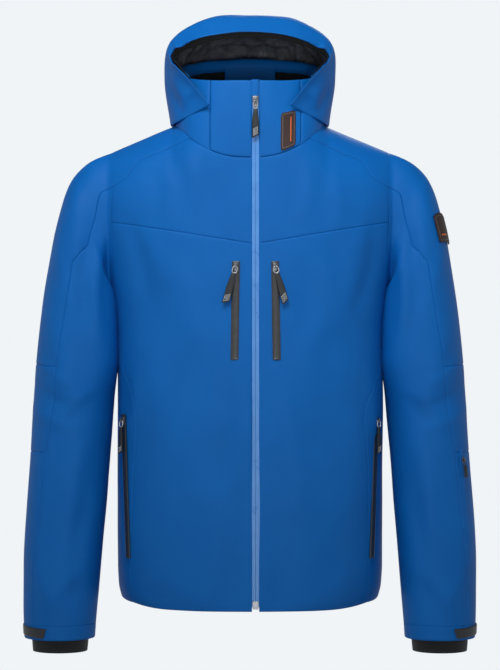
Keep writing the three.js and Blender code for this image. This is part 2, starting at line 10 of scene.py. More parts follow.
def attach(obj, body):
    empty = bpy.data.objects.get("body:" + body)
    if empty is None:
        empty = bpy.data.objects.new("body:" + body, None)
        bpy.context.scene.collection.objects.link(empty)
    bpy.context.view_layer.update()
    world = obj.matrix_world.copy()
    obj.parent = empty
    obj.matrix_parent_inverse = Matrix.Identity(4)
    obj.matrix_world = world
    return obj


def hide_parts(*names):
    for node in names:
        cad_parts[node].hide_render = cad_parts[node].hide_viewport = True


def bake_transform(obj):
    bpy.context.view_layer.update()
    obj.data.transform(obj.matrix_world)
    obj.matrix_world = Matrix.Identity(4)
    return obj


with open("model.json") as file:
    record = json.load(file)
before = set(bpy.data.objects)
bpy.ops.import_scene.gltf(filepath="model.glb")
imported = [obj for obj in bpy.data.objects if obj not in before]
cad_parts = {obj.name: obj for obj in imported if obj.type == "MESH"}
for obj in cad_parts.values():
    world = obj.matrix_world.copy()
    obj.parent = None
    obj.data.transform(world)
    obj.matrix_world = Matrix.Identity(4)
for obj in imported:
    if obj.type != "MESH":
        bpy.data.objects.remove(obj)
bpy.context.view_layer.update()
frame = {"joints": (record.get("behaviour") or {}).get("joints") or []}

joints = {joint["name"]: joint for joint in frame["joints"]}

# The cut of the jacket, in millimetres: the same values as the CAD model's.
cut = {
    "hem": -690,
    "width": 199,  # half of the body's
    "zip": 8,  # the zip stands this far to the wearer's left
    "ridge": (113.6, 10, 18),  # shoulder line beside the collar
    "collar": 110,  # half of its width
    "collarFront": 77,
    "neckFront": -36,
    "armhole": 204,
    "armpit": -246,
    "backYoke": -130,
    "hemDrop": 2.5,  # middle of the hem below the nominal line
    "hemRise": 9,  # how far it lifts towards the sides
    "hemFlat": 116,  # flat this far to each side
}


def mix(a, b, t):
    return a + (b - a) * t


def smooth(x, low, high):
    t = np.clip((x - low) / (high - low), 0, 1)
    return t * t * (3 - 2 * t)


def power(x, exponent):
    return np.sign(x) * np.abs(x) ** exponent


def catmull(p0, p1, p2, p3, t):
    a, b = (p2 - p0) / 2, (p3 - p1) / 2
    return (2 * p1 - 2 * p2 + a + b) * t**3 + (3 * p2 - 3 * p1 - 2 * a - b) * t**2 + a * t + p1


def profile(*pairs):
    # a smooth curve through (place, value) pairs
    at = np.array([pair[0] for pair in pairs], float)
    value = np.array([pair[1] for pair in pairs], float)
    value = np.concatenate((value[:1], value, value[-1:]))

    def read(x):
        held = np.clip(x, at[0], at[-1])
        i = np.clip(np.searchsorted(at, held, side="right") - 1, 0, len(at) - 2)
        return catmull(value[i], value[i + 1], value[i + 2], value[i + 3], (held - at[i]) / (at[i + 1] - at[i]))

    return read


def alongPoints(points, share):
    # points on the smooth line through the given ones; share runs 0 to 1
    line = np.array(points, float)
    line = np.concatenate(([2 * line[0] - line[1]], line, [2 * line[-1] - line[-2]]))
    place = np.clip(share, 0, 1) * (len(points) - 1)
    i = np.clip(place.astype(int), 0, len(points) - 2)
    t = place - i
    if line.ndim > 1:
        t = t[:, None]
    return catmull(line[i], line[i + 1], line[i + 2], line[i + 3], t)


# the body's surface, in millimetres like everything up to the last step of laySheet
halfWidth = profile(
    (-693, 187), (-684, 192.5), (-668, 196.5), (-640, 198.3), (-300, 199.3), (-246, 204.6), (-200, 214),
    (-160, 222), (-120, 228), (-60, 234), (20, 244),
)
backDepth = profile((-690, 138), (-450, 124), (-220, 128), (-120, 124), (-60, 112), (-25, 95), (20, 66))


def frontDepth(z):
    return 95 + 0.072 * (cut["collarFront"] - z)


def ridgeHeight(x):
    out = np.abs(x) - cut["ridge"][0]
    return cut["ridge"][2] - out * np.where(out > 0, 0.417, 1.2)


def bodyY(x, z, back):
    across = np.minimum(np.abs(x) / halfWidth(z), 1)
    roundness = (1 - across**2.5) ** 0.4
    below = np.clip((ridgeHeight(x) - z) / 120, 0, 1)
    shoulder = (1 - (1 - below) ** 2.2) ** (1 / 2.2)
    middle = cut["ridge"][1]
    behind = middle + (backDepth(z) - middle) * roundness * shoulder
    ahead = middle - (frontDepth(z) + middle) * roundness * shoulder
    return np.where(back, behind, ahead)


def bodyPoint(x, z, back):
    return np.stack([x, bodyY(x, z, back), z], 1)


def ringPoint(angle, z):
    x = halfWidth(z) * power(np.sin(np.radians(angle)), 0.8)
    return bodyPoint(x, z, np.cos(np.radians(angle)) < 0)


def hemLine(x):
    beyond = np.clip((np.abs(x) - cut["hemFlat"]) / 80, 0, 1)
    return cut["hem"] - cut["hemDrop"] + cut["hemRise"] * beyond**2.2


def neckSeam(x, back):
    share = np.abs(x) / cut["collar"]
    return np.where(back, 17 * share**2, cut["neckFront"] + 53 * share**2.5)


collarTop = profile((0, 77), (40, 80), (90, 97), (135, 114), (180, 122))


def collarPoint(angle, t):
    turn = np.abs((angle + 540) % 360 - 180)
    x = cut["collar"] * np.sin(np.radians(angle))
    back = turn > 90
    low = neckSeam(x, back)
    forward = np.cos(np.radians(angle))
    top = collarTop(turn)
    ahead = 4 - (frontDepth(top) + 4) * np.abs(forward) ** 0.9
    behind = 4 + 78 * np.abs(forward) ** 0.9
    base = np.stack([x, bodyY(x, low, back), low], 1)
    rim = np.stack([x, np.where(forward > 0, ahead, behind), top], 1)
    return mix(base, rim, t[:, None])


def collarAngle(x):
    return math.degrees(math.asin(x / cut["collar"]))


# Soft folds as seen from the front: each runs from (x, z) to (x, z), then its width and its height.
frontFolds = [
    ((-12, -330), (-34, -560), 17, 3.2),
    ((-62, -215), (-96, -420), 24, -1.4),
    ((-104, -190), (-78, -330), 20, 3.0),
    ((-150, -150), (-112, -300), 18, 2.4),
    ((-118, -46), (-124, -150), 13, 2.0),
    ((-90, -30), (-84, -118), 12, 1.8),
    ((-60, -60), (-62, -150), 14, -1.2),
    ((-158, -300), (-120, -600), 30, 2.6),
    ((-182, -120), (-150, -260), 12, -2.2),
    ((-168, -350), (-180, -440), 9, 2.2),
    ((-70, -470), (-60, -680), 26, 2.4),
    ((-30, -600), (-24, -690), 16, -2.0),
    ((36, -340), (62, -600), 18, 2.8),
    ((88, -205), (112, -400), 22, -1.4),
    ((118, -180), (92, -320), 18, 2.8),
    ((150, -140), (128, -290), 16, 2.0),
    ((122, -50), (128, -150), 13, 1.8),
    ((84, -40), (76, -130), 12, 1.8),
    ((166, -310), (130, -600), 28, 2.4),
    ((184, -120), (156, -260), 12, -2.2),
    ((170, -350), (182, -440), 9, 2.2),
    ((84, -480), (70, -685), 24, 2.2),
    ((44, -610), (38, -690), 14, -1.8),
    ((-140, -640), (-60, -688), 18, 1.6),
    ((150, -640), (70, -688), 18, 1.6),
]
backFolds = [
    ((-60, -120), (-90, -480), 26, 3.0),
    ((64, -130), (84, -470), 26, 3.0),
    ((-150, -160), (-110, -360), 18, 2.6),
    ((150, -160), (112, -350), 18, 2.6),
    ((4, -220), (-10, -600), 30, -3.0),
    ((-130, -400), (-150, -660), 22, 2.6),
    ((134, -420), (148, -660), 22, 2.6),
    ((-40, -480), (-34, -680), 20, 2.2),
    ((46, -500), (40, -680), 20, 2.2),
]
sleeveFolds = [
    ((226, -110), (240, -300), 11, -3.4),
    ((252, -70), (258, -190), 12, 2.6),
    ((276, -120), (272, -230), 10, 2.0),
    ((216, -150), (222, -300), 8, 2.6),
    ((292, -270), (250, -400), 15, 2.2),
    ((312, -330), (262, -372), 9, 1.6),
    ((318, -368), (258, -404), 8, -1.6),
    ((322, -402), (252, -436), 9, 1.5),
    ((230, -372), (282, -424), 9, 1.4),
    ((246, -450), (262, -600), 14, 2.4),
    ((300, -470), (312, -640), 16, 2.0),
    ((236, -520), (256, -700), 12, -2.0),
    ((322, -610), (286, -690), 12, 2.0),
    ((250, -640), (300, -705), 11, 1.8),
]


def foldHeight(x, z, folds):
    height = np.zeros_like(x)
    for (x0, z0), (x1, z1), width, rise in folds:
        dx, dz = x1 - x0, z1 - z0
        length = math.hypot(dx, dz)
        t = ((x - x0) * dx + (z - z0) * dz) / length**2
        bow = 0.06 * length * np.sin(np.pi * np.clip(t, 0, 1))
        off = ((x - x0) * dz - (z - z0) * dx) / length + bow
        fade = smooth(t, -0.15, 0.3) * (1 - smooth(t, 0.7, 1.15))
        height += rise * fade * (np.exp(-((off / width) ** 2)) - 0.45 * np.exp(-(((off - 1.7 * width) / width) ** 2)))
    return height


def ripple(points, size, seed=0.0):
    # smooth noise, about -1 to 1, with lumps of the given size in millimetres
    return np.array([noise.noise(Vector((p[0] / size + seed, p[1] / size, p[2] / size * 0.6))) for p in points])


def clothRelief(points, onSleeve=False):
    x, y, z = points.T
    if onSleeve:
        height = foldHeight(np.abs(x), z, sleeveFolds) * np.where(y > 0, 0.8, 1)
    else:
        ahead = smooth(-y, -10, 40)
        height = foldHeight(x, z, frontFolds) * ahead + foldHeight(x, z, backFolds) * (1 - ahead)
    return height + 1.3 * ripple(points, 95) + 0.5 * ripple(points, 38, 7)


# how a cut edge rolls under, and the wall of a layer, in millimetres
cloth = {
    "wall": 2.2,
    "rollWidth": 3.2,
    "rollDepth": 1.1,
    "flatRoll": 0.35,  # at a seam that should hardly show
    "rollRows": (0, 0.5, 1.2, 2.1, 3.2),
}


def rowPlaces(length, step, low, high):
    # where the rows of a sheet lie, 0 to 1, closer together at an edge that is rolled
    near = list(cloth["rollRows"])
    start = near if low else [0]
    end = [length - d for d in reversed(near)] if high else [length]
    count = max(1, round((end[0] - start[-1]) / step))
    inner = np.linspace(start[-1], end[0], count + 1)
    return np.concatenate((start[:-1], inner, end[1:])) / length


def outwardOf(surface, u, v):
    step = 1e-3
    across = surface(u + step, v) - surface(u - step, v)
    up = surface(u, v + step) - surface(u, v - step)
    normal = np.cross(across, up)
    return normal / np.maximum(np.linalg.norm(normal, axis=1, keepdims=True), 1e-9)


def laySheet(name, surface, size, material, nodes=(), step=6, roll="", thick=cloth["wall"], lift=0, relief=None,
             closed=False, rollDepth=cloth["rollDepth"], flat="", shape=None):
    # surface(u, v) gives points; roll names the edges that turn under: l and r across, b and t up
    us = rowPlaces(size[0], step, "l" in roll, "r" in roll)
    vs = rowPlaces(size[1], step, "b" in roll, "t" in roll)
    bm = bmesh.new()
    bmesh.ops.create_grid(bm, x_segments=len(us) - 1, y_segments=len(vs) - 1, size=0.5)
    grid = np.array([vertex.co for vertex in bm.verts])
    u = us[np.rint((grid[:, 0] + 0.5) * (len(us) - 1)).astype(int)]
    v = vs[np.rint((grid[:, 1] + 0.5) * (len(vs) - 1)).astype(int)]
    place = surface(u, v)
    outward = outwardOf(surface, u, v)
    drop = np.zeros(len(u))
    for side, t, length in (("l", u, size[0]), ("r", 1 - u, size[0]), ("b", v, size[1]), ("t", 1 - v, size[1])):
        if side in roll:
            near = 1 - np.clip(t * length / cloth["rollWidth"], 0, 1)
            depth = cloth["flatRoll"] if side in flat else rollDepth
            drop = np.maximum(drop, depth * (1 - np.sqrt(np.maximum(1 - near**2, 0))))
    rise = lift - drop
    if relief is not None:
        rise = rise + relief(place)
    if shape is not None:
        rise = rise + shape(u, v)
    moved = (place + outward * rise[:, None]) / 1000
    uvLayer = bm.loops.layers.uv.new("cloth")
    for vertex, point in zip(bm.verts, moved):
        vertex.co = point
    bm.verts.index_update()
    for edge in bm.edges:
        edge.smooth = not edge.is_boundary
    for face in bm.faces:
        face.smooth = True
        for loop in face.loops:
            i = loop.vert.index
            loop[uvLayer].uv = (u[i] * size[0] / 1000, v[i] * size[1] / 1000)
    if closed:
        bmesh.ops.remove_doubles(bm, verts=bm.verts, dist=1e-5)
    area = sum(face.calc_area() for face in bm.faces)
    mesh = bpy.data.meshes.new(name)
    bm.to_mesh(mesh)
    bm.free()
    piece = bpy.data.objects.new(name, mesh)
    bpy.context.scene.collection.objects.link(piece)
    mesh.materials.append(material)
    if thick:
        wall = piece.modifiers.new("thickness", "SOLIDIFY")
        wall.thickness = thick / 1000
        wall.offset = -1
    if nodes:
        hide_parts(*nodes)
    return piece


def mirrored(surface):
    return lambda u, v: surface(1 - u, v) * np.array([-1, 1, 1])


def linear(hexColour):
    parts = [int(hexColour[i : i + 2], 16) / 255 for i in (1, 3, 5)]
    return (*(c / 12.92 if c <= 0.04045 else ((c + 0.055) / 1.055) ** 2.4 for c in parts), 1)


def addNode(material, kind, inputs={}, **settings):
    node = material.node_tree.nodes.new(kind)
    for key, value in settings.items():
        setattr(node, key, value)
    for key, value in inputs.items():
        if isinstance(value, tuple) and isinstance(value[0], bpy.types.Node):
            material.node_tree.links.new(value[0].outputs[value[1]], node.inputs[key])
        else:
            node.inputs[key].default_value = value
    return node


def newMaterial(name):
    material = bpy.data.materials.new(name)
    material.use_nodes = True
    material.node_tree.nodes.clear()
    return material


def finishMaterial(material, surface):
    addNode(material, "ShaderNodeOutputMaterial", {"Surface": (surface, 0)})
    return material


shellLook = {
    "light": "#0066b8",
    "dark": "#005caa",
    "sheen": "#6aa4e6",
    "threadSpacing": 1.3,  # mm; the real threads are about 0.25 mm, too fine to show
    "lumpSize": 60,  # mm
}


def wovenPolyester():
    # face fabric of a ski jacket: matt, closely woven polyester, slightly mottled, with a soft sheen at grazing angles
    material = newMaterial("woven polyester shell")
    place = addNode(material, "ShaderNodeTexCoord")
    lumps = addNode(material, "ShaderNodeTexNoise",
                    {"Vector": (place, "Object"), "Scale": 1000 / shellLook["lumpSize"], "Detail": 3})
    weave = addNode(material, "ShaderNodeTexNoise",
                    {"Vector": (place, "Object"), "Scale": 1000 / shellLook["threadSpacing"], "Detail": 1})
    colour = addNode(material, "ShaderNodeMix", {"Factor": (lumps, "Fac")}, data_type="RGBA")
    colour.inputs[6].default_value = linear(shellLook["dark"])
    colour.inputs[7].default_value = linear(shellLook["light"])
    rough = addNode(material, "ShaderNodeMapRange", {"Value": (weave, "Fac"), "To Min": 0.5, "To Max": 0.68})
    bump = addNode(material, "ShaderNodeBump", {"Height": (weave, "Fac"), "Strength": 0.22, "Distance": 0.0004})
    shader = addNode(material, "ShaderNodeBsdfPrincipled", {
        "Base Color": (colour, 2), "Roughness": (rough, 0), "Normal": (bump, 0), "IOR": 1.5,
        "Specular IOR Level": 0.16, "Sheen Weight": 0.04, "Sheen Roughness": 0.45,
        "Sheen Tint": linear(shellLook["sheen"]),
    })
    return finishMaterial(material, shader)


def plainMaterial(name, dark, light, grainSize, roughness, bumpDepth, metallic=0.0, strength=0.4, sheen=0.0,
                  coat=0.0):
    # a surface whose colour, gloss and height all vary with one grain; grain size and depth in millimetres
    material = newMaterial(name)
    place = addNode(material, "ShaderNodeTexCoord")
    grain = addNode(material, "ShaderNodeTexNoise",
                    {"Vector": (place, "Object"), "Scale": 1000 / grainSize, "Detail": 3})
    colour = addNode(material, "ShaderNodeMix", {"Factor": (grain, "Fac")}, data_type="RGBA")
    colour.inputs[6].default_value = linear(dark)
    colour.inputs[7].default_value = linear(light)
    rough = addNode(material, "ShaderNodeMapRange",
                    {"Value": (grain, "Fac"), "To Min": roughness - 0.08, "To Max": roughness + 0.08})
    bump = addNode(material, "ShaderNodeBump",
                   {"Height": (grain, "Fac"), "Strength": strength, "Distance": bumpDepth / 1000})
    shader = addNode(material, "ShaderNodeBsdfPrincipled", {
        "Base Color": (colour, 2), "Roughness": (rough, 0), "Normal": (bump, 0), "Metallic": metallic,
        "IOR": 1.5,
        "Sheen Weight": sheen, "Coat Weight": coat,
    })
    return finishMaterial(material, shader)


shell = wovenPolyester()
# pressed flat and slightly shiny inside the body
liningCloth = plainMaterial("calendered nylon lining", "#08090b", "#131518", 14, 0.34, 0.5, sheen=0.1)
# black, puckered and glossy nylon; the light grey of its grain is painted highlights on the puckers
glossyLiningPaintedHighlights = plainMaterial("glazed quilted nylon with painted highlights", "#242426", "#7a7a80", 15, 0.24, 0.8, strength=0.6,
                             coat=0.4)
# matt black with fine ribs
knit = plainMaterial("ribbed stretch knit", "#07080a", "#15171a", 1.6, 0.85, 0.6, sheen=0.3)
# brushed, so it gives back almost no light
tricot = plainMaterial("brushed tricot facing", "#050608", "#0d0f12", 2, 0.9, 0.3)
# smooth laminated film in a lighter blue, or dark at the pockets
zipFilm = plainMaterial("polyurethane film zip tape", "#3f82cf", "#5b9be2", 20, 0.3, 0.1, coat=0.25)
zipFilmDark = plainMaterial("polyurethane film pocket tape", "#191c1f", "#34373a", 6, 0.32, 0.1, coat=0.25)
# moulded, half matt
softRubber = plainMaterial("moulded soft rubber", "#101317", "#1b1f25", 1.5, 0.5, 0.15)
# cast and plated, bright or darkened, with a soft shine
zinc = plainMaterial("plated zinc casting", "#a9abb0", "#d5d7db", 3, 0.42, 0.05, metallic=1.0)
darkZinc = plainMaterial("gunmetal plated zinc", "#55575c", "#85878c", 3, 0.38, 0.05, metallic=1.0)
# waxed, with a fine pore
leather = plainMaterial("smooth brown leather", "#1c0806", "#33120e", 2.2, 0.62, 0.4)
# twisted, so each stitch is a small bright bead
thread = plainMaterial("tan polyester thread", "#4a4240", "#6a5e58", 1, 0.7, 0.3)
orangeThread = plainMaterial("orange polyester thread", "#c4561e", "#e2702e", 1, 0.65, 0.3)
whitePrint = plainMaterial("white rubber print", "#c9ccd0", "#e4e6e8", 1, 0.6, 0.1)

# how the fronts turn about their slanting lines
hinge = {"reach": 75, "top": 70, "hem": 165}


def hingeX(z):
    return mix(hinge["hem"], hinge["top"], (z - cut["hem"]) / (cut["collarFront"] - cut["hem"]))


def turnWithFront(piece):
    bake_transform(piece)


sides = ((1, "left"), (-1, "right"))
zipEdge = 5.2  # front edges stand this far from the middle of the zip
sideSeam = profile(
    (-690, 174), (-623, 174), (-500, 172), (-447, 168), (-419, 166), (-390, 171), (-343, 190),
    (-300, 197), (-246, 204),
)
shoulderSeam = profile(
    (60, 3), (85, -6), (104, -13), (150, -31.5), (163, -36.5), (169, -42), (180, -60),
    (184, -65), (206, -78), (220, -86),
)
# the thin layer inside the body, in millimetres
bodyLining = {"wall": 1, "inFrom": 7.5, "aboveHem": 24, "wrinkle": 1.2}


def frontSide(z):
    return np.where(z > cut["armpit"], cut["armhole"], sideSeam(z))


def chestSeam(u):
    return -162 + 33 * u


def frontSurface(side, low, high):
    # u runs from the zip to the side
    def surface(u, v):
        reach = u if side > 0 else 1 - u
        out = mix(zipEdge, cut["armhole"] - side * cut["zip"], reach)
        x0 = cut["zip"] * side + out
        z = mix(low(reach, x0), high(reach, x0), v)
        limit = frontSide(z)
        x = side * mix(zipEdge + side * cut["zip"], limit, reach)
        return bodyPoint(x, z, False)

    return surface


def yokeTop(reach, x):
    return np.where(x < 120, np.minimum(neckSeam(x, False) - 0.5, shoulderSeam(x)), shoulderSeam(x))


def makeFronts():
    for side, suffix in sides:
        inner, outer = ("l", "r") if side > 0 else ("r", "l")
        lower = frontSurface(side, lambda reach, x: hemLine(x * 0.866), lambda reach, x: chestSeam(reach))
        piece = laySheet("shellFront_" + suffix, lower, (192, 550), shell,
                         ["front_panel_" + suffix], step=5, roll="lrbt", relief=clothRelief, flat=outer)
        turnWithFront(piece)
        upper = frontSurface(side, lambda reach, x: chestSeam(reach), yokeTop)
        piece = laySheet("shellChest_" + suffix, upper, (192, 115), shell,
                         ["front_yoke_" + suffix], step=4, roll="lrbt", relief=clothRelief, flat=outer)
        turnWithFront(piece)

        def inside(u, v):
            reach = u if side > 0 else 1 - u
            z = mix(cut["hem"] + bodyLining["aboveHem"], -52, v)
            x = side * mix(zipEdge + 12 + side * cut["zip"], frontSide(z) * 0.93, reach)
            return bodyPoint(x, z, False)

        piece = laySheet("liningFront_" + suffix, inside, (176, 610), liningCloth,
                         ["front_lining_" + suffix], step=12, thick=bodyLining["wall"],
                         lift=-bodyLining["inFrom"],
                         relief=lambda p: bodyLining["wrinkle"] * ripple(p, 40, 3))
        turnWithFront(piece)
    print("fronts made")


def makeShoulders():
    backSeam = profile((60, 20), (95, 11), (150, -38), (201, -72))
    for side, suffix in sides:

        def surface(u, v):
            over = 2 * v - 1
            bend = np.abs(over) ** 1.8
            x = mix(111 - np.where(over < 0, 25, 16) * bend, cut["armhole"], u)
            low = np.where(over < 0, shoulderSeam(x), backSeam(x))
            z = mix(ridgeHeight(x), low, bend)
            z = np.where((x < 112) & (z > neckSeam(x, over > 0) + 2), neckSeam(x, over > 0) + 2, z)
            return bodyPoint(x, z, over > 0)

        chosen = surface if side > 0 else mirrored(surface)
        piece = laySheet("shellShoulder_" + suffix, chosen, (95, 190), shell,
                         ["shoulder_panel_" + suffix], step=4, roll="bt" + ("l" if side > 0 else "r"),
                         relief=lambda p: clothRelief(p) * 0.6)
        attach(piece, "torso")
    print("shoulders made")
    return backSeam


def backEdge(z):
    # angle round from the front at which the back panel starts
    limit = np.minimum(cut["armhole"] / halfWidth(z), 1) ** 1.25
    beside = 180 - np.degrees(np.arcsin(limit))
    return np.where(z > cut["armpit"], beside, mix(105, beside, smooth(z, -340, cut["armpit"])))


def makeSidesAndBack(backSeam):
    for side, suffix in sides:

        def surface(u, v):
            z = mix(hemLine(mix(174, 189, u)), cut["armpit"], v)
            start = np.degrees(np.arcsin(np.minimum(sideSeam(z) / halfWidth(z), 1) ** 1.25))
            return ringPoint(mix(start, backEdge(z), u), z)

        chosen = surface if side > 0 else mirrored(surface)
        piece = laySheet("shellSide_" + suffix, chosen, (120, 446), shell,
                         ["side_panel_" + suffix], step=5, roll="lrb", relief=clothRelief)
        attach(piece, "torso")

    def lower(u, v):
        z = mix(hemLine(189 * np.cos(np.pi * u)), cut["backYoke"], v)
        return ringPoint(mix(backEdge(z), 360 - backEdge(z), u), z)

    piece = laySheet("shellBack", lower, (440, 560), shell, ["back_panel"], step=6,
                     roll="lrbt", relief=clothRelief)
    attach(piece, "torso")

    def upper(u, v):
        x = mix(cut["armhole"], -cut["armhole"], u)
        top = np.where(np.abs(x) < 95, neckSeam(x, True), backSeam(np.abs(x)))
        return bodyPoint(x, mix(cut["backYoke"], top, v), True)

    piece = laySheet("shellBackYoke", upper, (402, 135), shell, ["back_yoke"], step=5,
                     roll="lrbt", relief=clothRelief)
    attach(piece, "torso")

    def inside(u, v):
        z = mix(cut["hem"] + bodyLining["aboveHem"], cut["armpit"] - 6, v)
        return ringPoint(mix(68, 292, u), z)

    piece = laySheet("liningBody", inside, (600, 420), liningCloth, ["body_lining"], step=12,
                     thick=bodyLining["wall"], lift=-8,
                     relief=lambda p: bodyLining["wrinkle"] * ripple(p, 45, 5))
    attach(piece, "torso")

    def insideTop(u, v):
        x = mix(180, -180, u)
        top = np.where(np.abs(x) < 95, neckSeam(x, True) - 3, backSeam(np.abs(x)) - 3)
        return bodyPoint(x, mix(cut["armpit"] - 8, top, v), True)

    piece = laySheet("liningBack", insideTop, (360, 250), liningCloth, step=12,
                     thick=bodyLining["wall"], lift=-7, relief=lambda p: ripple(p, 45, 5))
    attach(piece, "torso")
    print("sides and back made")


collar = {
    "seam": 66,  # its front seams, from the zip
    "wall": 3,
    "fill": 2.2,  # how far its padding swells
    "leftBack": 98,  # where the side pieces end
    "rightBack": 114,
    "backFrom": 106.2,
    "rollSize": 7.0,
    "rollFrom": 58,  # degrees round from the front
}


def makeCollar():
    seam = collar["seam"]
    for side, suffix in sides:

        def patch(near, far, low=0.0, high=1.0):
            a, b = sorted((collarAngle(cut["zip"] + side * near), collarAngle(cut["zip"] + side * far)))
            return lambda u, v: collarPoint(mix(a, b, u), mix(low, high, v))

        def puff(u, v):
            # a doubled, lightly filled collar: fuller towards its top, with a soft rolled edge
            return collar["fill"] * np.sin(np.pi * np.clip(v, 0, 1)) ** 0.7

        soft = lambda p: 0.8 * ripple(p, 34, 2)
        piece = laySheet("collarFront_" + suffix, patch(zipEdge, seam), (seam - 5, 114), shell,
                         ["collar_front_" + suffix], step=4, roll="lrbt", relief=soft,
                         thick=collar["wall"], shape=puff, rollDepth=1.5)
        turnWithFront(piece)
        end = collar["leftBack"] if side > 0 else collar["rightBack"]
        piece = laySheet("collarSide_" + suffix, patch(seam + 0.4, end, -0.015), (50, 110), shell,
                         step=4, roll="lrbt", relief=soft, thick=collar["wall"], shape=puff,
                         rollDepth=1.5)
        turnWithFront(piece)
    left = collarAngle(collar["backFrom"])
    right = 360 - left

    def back(u, v):
        return collarPoint(mix(left, right, u), mix(-0.02, 1, v))

    piece = laySheet("collarBack", back, (330, 125), shell, ["collar_back"], step=5,
                     roll="lrbt", thick=collar["wall"], relief=lambda p: ripple(p, 34, 2), rollDepth=2.2)
    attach(piece, "torso")

    def inside(u, v):
        return collarPoint(mix(left - 36, right + 36, u), mix(0.0, 0.9, v))

    piece = laySheet("collarLining", inside, (430, 112), tricot, ["collar_lining"], step=6,
                     thick=1, lift=-8)
    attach(piece, "torso")

    def facing(u, v):
        return collarPoint(mix(158, 202, u), mix(0.45, 0.96, v))

    piece = laySheet("collarFacing", facing, (80, 60), shell, step=5, thick=1, lift=-10.5,
                     roll="lrb")
    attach(piece, "torso")

    def rollRound(u, v):
        # a padded roll along the collar's top edge, from one side round the back to the other
        angle = mix(collar["rollFrom"], 360 - collar["rollFrom"], u)
        middle = collarPoint(angle, np.full_like(u, 0.97))
        aside = collarPoint(angle, np.full_like(u, 0.9)) - middle
        aside /= np.linalg.norm(aside, axis=1, keepdims=True)
        along = collarPoint(angle + 1, np.full_like(u, 0.97)) - collarPoint(angle - 1, np.full_like(u, 0.97))
        along /= np.linalg.norm(along, axis=1, keepdims=True)
        inward = np.cross(aside, along)
        inward /= np.linalg.norm(inward, axis=1, keepdims=True)
        inward *= np.sign((inward * (np.array([0, 0, 60]) - middle)).sum(1))[:, None]
        size = collar["rollSize"] * smooth(u, -0.05, 0.05) * (1 - smooth(u, 0.95, 1.05)) + 0.6
        turn = -2 * np.pi * v
        middle = middle + inward * 5
        return middle + size[:, None] * (np.cos(turn)[:, None] * aside * 1.35 + np.sin(turn)[:, None] * inward)

    piece = laySheet("collarRoll", rollRound, (400, 48), shell, step=4, thick=0, closed=True,
                     relief=lambda p: 1.2 * ripple(p, 16, 9))
    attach(piece, "torso")
    print("collar made")


# Rings round the sleeve from the shoulder to the hem: x and z of the inner edge, x and z of the outer edge,
# then y of the middle and half of the depth. They are drawn in a little afterwards, the outer edge more with
# each ring.
ringData = np.array([
    [203, -232, 203, -26, 8, 60], [208, -238, 250, -41, 8, 63], [208.5, -242, 275, -70, 7, 66],
    [207.5, -248, 294, -130, 6, 69], [206, -258, 306, -190, 4, 70], [205, -292, 316, -255, 2, 70],
    [205, -342, 324, -328, 0, 69], [207, -402, 329, -398, -2, 67], [213, -472, 333, -472, -8, 64],
    [219, -547, 338, -547, -16, 61], [225, -622, 342, -622, -27, 58], [231, -692, 342, -692, -37, 54],
    [235, -742, 340, -742, -44, 50],
]) - np.array([[3, 0, 3 + 0.3 * i, 0, 0, 0] for i in range(13)])
ringData[8:, 0] -= np.array([1, 1.5, 2, 2.5, 3])
ringData[0] = [204.2, -248, 204.2, -20, 8, 60]
lastRing = len(ringData) - 1


def sleevePoint(turn, ring):
    share = np.clip(ring / lastRing, 0, 1)
    data = alongPoints(ringData, share)
    reach = np.cos(2 * np.pi * turn)
    x = (data[:, 0] + data[:, 2]) / 2 + reach * (data[:, 2] - data[:, 0]) / 2
    z = (data[:, 1] + data[:, 3]) / 2 + reach * (data[:, 3] - data[:, 1]) / 2
    y = data[:, 4] - data[:, 5] * np.sin(2 * np.pi * turn)
    # near the armpit the sleeve leans forward against the body
    lean = smooth(ring, 1.2, 2.5) * (1 - smooth(ring, 5.8, 7.2)) * np.clip(-reach, 0, 1)
    x = x + lean * (0.32 * np.minimum(y - 14, 0) + 1.5)
    onBody = bodyY(np.minimum(x, cut["armhole"] + 6), z, np.sin(2 * np.pi * turn) < 0)
    y = mix(onBody, y, smooth(ring, 0.0, 1.6))
    return np.stack([x, y, z], 1)


seamTurn = profile(
    (0, 0.167), (0.3, 0.168), (0.53, 0.171), (0.62, 0.182), (0.9, 0.218), (1.28, 0.24), (1.82, 0.25), (2.15, 0.254), (2.3, 0.251),
    (3.08, 0.22), (3.35, 0.205), (3.5, 0.203), (4.06, 0.204), (4.8, 0.198), (6, 0.184), (7, 0.178), (8, 0.154), (10, 0.137), (12, 0.128),
)
# seams across the sleeve, counted in rings
sleeve = {"elbow": 6.15, "forearm": 7.95, "hemBand": 0.46, "back": -0.24, "under": 0.76}
ribKnit = {
    "middle": (281, -44),
    "half": (40, 38),
    "bulge": 2,
    "ribs": 60,
    "ribDepth": 0.008,
    "top": -702,
    "bottom": -761.5,
}
tabCut = {"size": (100, 17), "wall": 1.8, "lift": 1.8, "slope": 0.1}


